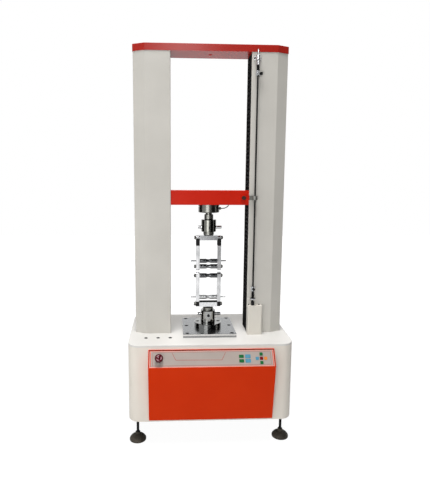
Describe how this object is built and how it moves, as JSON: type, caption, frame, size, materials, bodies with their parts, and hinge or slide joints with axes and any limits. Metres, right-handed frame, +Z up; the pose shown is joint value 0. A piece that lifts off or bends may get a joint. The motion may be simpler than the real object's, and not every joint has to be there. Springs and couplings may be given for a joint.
{
  "type": "universal testing machine",
  "caption": "Floor-standing tensile testing machine with two covered columns, a screw-driven crosshead, load cell, roller grips, limit rod and sloping console on a rounded cabinet.",
  "frame": {"origin": "on the floor, under the middle of the machine's overall width and depth", "axes": "+Z up along the columns, +X to the operator's right, +Y away from the operator"},
  "size_m": [0.8, 0.5498, 1.925],
  "materials": {
    "grey_paint": "satin powder coat",
    "red_paint": "gloss enamel",
    "orange_paint": "satin powder coat",
    "overlay_film": "matt printed film",
    "chrome_plate": "polished chrome plate",
    "ground_steel": "ground",
    "frame_steel": "primer",
    "black_steel": "blackened",
    "cast_alloy": "cast",
    "bellows_cloth": "coated cloth",
    "black_rubber": "matt",
    "black_plastic": "matt",
    "red_plastic": "moulded",
    "green_plastic": "moulded",
    "blue_plastic": "moulded",
    "dark_red_plastic": "moulded",
    "orange_plastic": "moulded",
    "belt_rubber": "toothed belt"
  },
  "bodies": {
    "frame": {"cabinet_shell": "grey_paint", "worktop": "grey_paint", "base_frame": "frame_steel", "rear_panel": "grey_paint", "console_shell": "orange_paint", "control_overlay": "overlay_film", "platen": "chrome_plate", "left_column_cover": "grey_paint", "right_column_cover": "grey_paint", "guide_rods": "ground_steel", "crown_plate": "red_paint", "screw_bearings": "ground_steel", "drive_motor": "cast_alloy", "timing_belt": "belt_rubber", "servo_drive": "cast_alloy", "limit_switch_box": "grey_paint", "rod_guides": "ground_steel", "upper_bellows": "bellows_cloth", "lower_bellows": "bellows_cloth", "lower_socket": "chrome_plate", "lower_grip_yoke": "chrome_plate", "lower_side_plates": "chrome_plate", "lower_clamp_bar": "chrome_plate", "lower_grip_nuts": "chrome_plate", "estop_collar": "black_plastic", "foot_stems": "black_steel", "foot_pads": "black_rubber"},
    "crosshead_body": {"crosshead": "red_paint", "ball_nuts": "ground_steel", "guide_bushes": "ground_steel", "load_cell": "ground_steel", "load_cell_lead": "black_rubber", "upper_socket": "chrome_plate", "upper_grip_yoke": "chrome_plate", "upper_side_plates": "chrome_plate", "upper_clamp_bar": "chrome_plate", "upper_grip_nuts": "chrome_plate", "trigger_arm": "ground_steel"},
    "left_screw_body": {"left_ball_screw": "ground_steel"},
    "right_screw_body": {"right_ball_screw": "ground_steel"},
    "motor_pulley_body": {"motor_pulley": "cast_alloy"},
    "upper_pin_body": {"upper_pin": "chrome_plate"},
    "lower_pin_body": {"lower_pin": "chrome_plate"},
    "upper_roller_body": {"upper_loose_roller": "chrome_plate"},
    "lower_roller_body": {"lower_loose_roller": "chrome_plate"},
    "limit_rod_body": {"limit_rod": "ground_steel"},
    "upper_stop_body": {"upper_stop_collar": "ground_steel"},
    "lower_stop_body": {"lower_stop_collar": "ground_steel"},
    "upper_knob_body": {"upper_stop_knob": "black_plastic"},
    "lower_knob_body": {"lower_stop_knob": "black_plastic"},
    "estop_body": {"estop_button": "red_plastic"},
    "green_key_upper_body": {"green_key_upper": "green_plastic"},
    "green_key_lower_body": {"green_key_lower": "green_plastic"},
    "blue_key_upper_body": {"blue_key_upper": "blue_plastic"},
    "blue_key_lower_body": {"blue_key_lower": "blue_plastic"},
    "jog_up_key_body": {"jog_up_key": "green_plastic"},
    "jog_down_key_body": {"jog_down_key": "green_plastic"},
    "jog_left_key_body": {"jog_left_key": "blue_plastic"},
    "jog_right_key_body": {"jog_right_key": "orange_plastic"},
    "stop_key_body": {"stop_key": "dark_red_plastic"}
  },
  "joints": [
    {"name": "crosshead_travel", "type": "slide", "parent": "frame", "child": "crosshead_body", "axis": [0, 0, 1], "range_m": [0, 0.56], "deforming": ["upper_bellows", "lower_bellows"]},
    {"name": "left_screw_turn", "type": "hinge", "parent": "frame", "child": "left_screw_body", "pos_m": [-0.3, 0.0155, 1.2], "axis": [0, 0, 1], "range_deg": [-10110, 20]},
    {"name": "right_screw_turn", "type": "hinge", "parent": "frame", "child": "right_screw_body", "pos_m": [0.3, 0.0155, 1.2], "axis": [0, 0, 1], "range_deg": [-10110, 20]},
    {"name": "motor_turn", "type": "hinge", "parent": "frame", "child": "motor_pulley_body", "pos_m": [0, 0.158, 0.437], "axis": [0, 0, 1], "range_deg": [-13470, 20]},
    {"name": "upper_pin_pull", "type": "slide", "parent": "crosshead_body", "child": "upper_pin_body", "axis": [1, 0, 0], "range_m": [0, 0.12]},
    {"name": "lower_pin_pull", "type": "slide", "parent": "frame", "child": "lower_pin_body", "axis": [1, 0, 0], "range_m": [0, 0.12]},
    {"name": "upper_roller_lift", "type": "slide", "parent": "crosshead_body", "child": "upper_roller_body", "axis": [0, 0, 1], "range_m": [0, 0.085]},
    {"name": "lower_roller_lift", "type": "slide", "parent": "frame", "child": "lower_roller_body", "axis": [0, 0, 1], "range_m": [0, 0.085]},
    {"name": "limit_rod_trip", "type": "slide", "parent": "frame", "child": "limit_rod_body", "axis": [0, 0, 1], "range_m": [-0.005, 0.005], "stiffness_N_per_m": 3000, "springref_m": 0.0024},
    {"name": "upper_stop_set", "type": "slide", "parent": "limit_rod_body", "child": "upper_stop_body", "axis": [0, 0, 1], "range_m": [-0.5, 0]},
    {"name": "lower_stop_set", "type": "slide", "parent": "limit_rod_body", "child": "lower_stop_body", "axis": [0, 0, 1], "range_m": [0, 0.38]},
    {"name": "upper_knob_turn", "type": "hinge", "parent": "upper_stop_body", "child": "upper_knob_body", "pos_m": [0.236, -0.0645, 1.7896], "axis": [1, 0, 0], "range_deg": [0, 360]},
    {"name": "lower_knob_turn", "type": "hinge", "parent": "lower_stop_body", "child": "lower_knob_body", "pos_m": [0.22, -0.0805, 0.7454], "axis": [0, -1, 0], "range_deg": [0, 360]},
    {"name": "estop_press", "type": "slide", "parent": "frame", "child": "estop_body", "axis": [0, 0.8261, -0.5635], "range_m": [0, 0.005], "stiffness_N_per_m": 800, "springref_m": -0.002},
    {"name": "green_key_upper_press", "type": "slide", "parent": "frame", "child": "green_key_upper_body", "axis": [0, 0.8261, -0.5635], "range_m": [0, 0.0008], "stiffness_N_per_m": 600, "springref_m": -0.001},
    {"name": "green_key_lower_press", "type": "slide", "parent": "frame", "child": "green_key_lower_body", "axis": [0, 0.8261, -0.5635], "range_m": [0, 0.0008], "stiffness_N_per_m": 600, "springref_m": -0.001},
    {"name": "blue_key_upper_press", "type": "slide", "parent": "frame", "child": "blue_key_upper_body", "axis": [0, 0.8261, -0.5635], "range_m": [0, 0.0008], "stiffness_N_per_m": 600, "springref_m": -0.001},
    {"name": "blue_key_lower_press", "type": "slide", "parent": "frame", "child": "blue_key_lower_body", "axis": [0, 0.8261, -0.5635], "range_m": [0, 0.0008], "stiffness_N_per_m": 600, "springref_m": -0.001},
    {"name": "jog_up_key_press", "type": "slide", "parent": "frame", "child": "jog_up_key_body", "axis": [0, 0.8261, -0.5635], "range_m": [0, 0.0008], "stiffness_N_per_m": 600, "springref_m": -0.001},
    {"name": "jog_down_key_press", "type": "slide", "parent": "frame", "child": "jog_down_key_body", "axis": [0, 0.8261, -0.5635], "range_m": [0, 0.0008], "stiffness_N_per_m": 600, "springref_m": -0.001},
    {"name": "jog_left_key_press", "type": "slide", "parent": "frame", "child": "jog_left_key_body", "axis": [0, 0.8261, -0.5635], "range_m": [0, 0.0008], "stiffness_N_per_m": 600, "springref_m": -0.001},
    {"name": "jog_right_key_press", "type": "slide", "parent": "frame", "child": "jog_right_key_body", "axis": [0, 0.8261, -0.5635], "range_m": [0, 0.0008], "stiffness_N_per_m": 600, "springref_m": -0.001},
    {"name": "stop_key_press", "type": "slide", "parent": "frame", "child": "stop_key_body", "axis": [0, 0.8261, -0.5635], "range_m": [0, 0.0008], "stiffness_N_per_m": 600, "springref_m": -0.001}
  ],
  "couplings": [
    {"joint": "left_screw_turn", "follows": "crosshead_travel", "rad_per_m": -314.16},
    {"joint": "right_screw_turn", "follows": "crosshead_travel", "rad_per_m": -314.16},
    {"joint": "motor_turn", "follows": "crosshead_travel", "rad_per_m": -418.88}
  ]
}
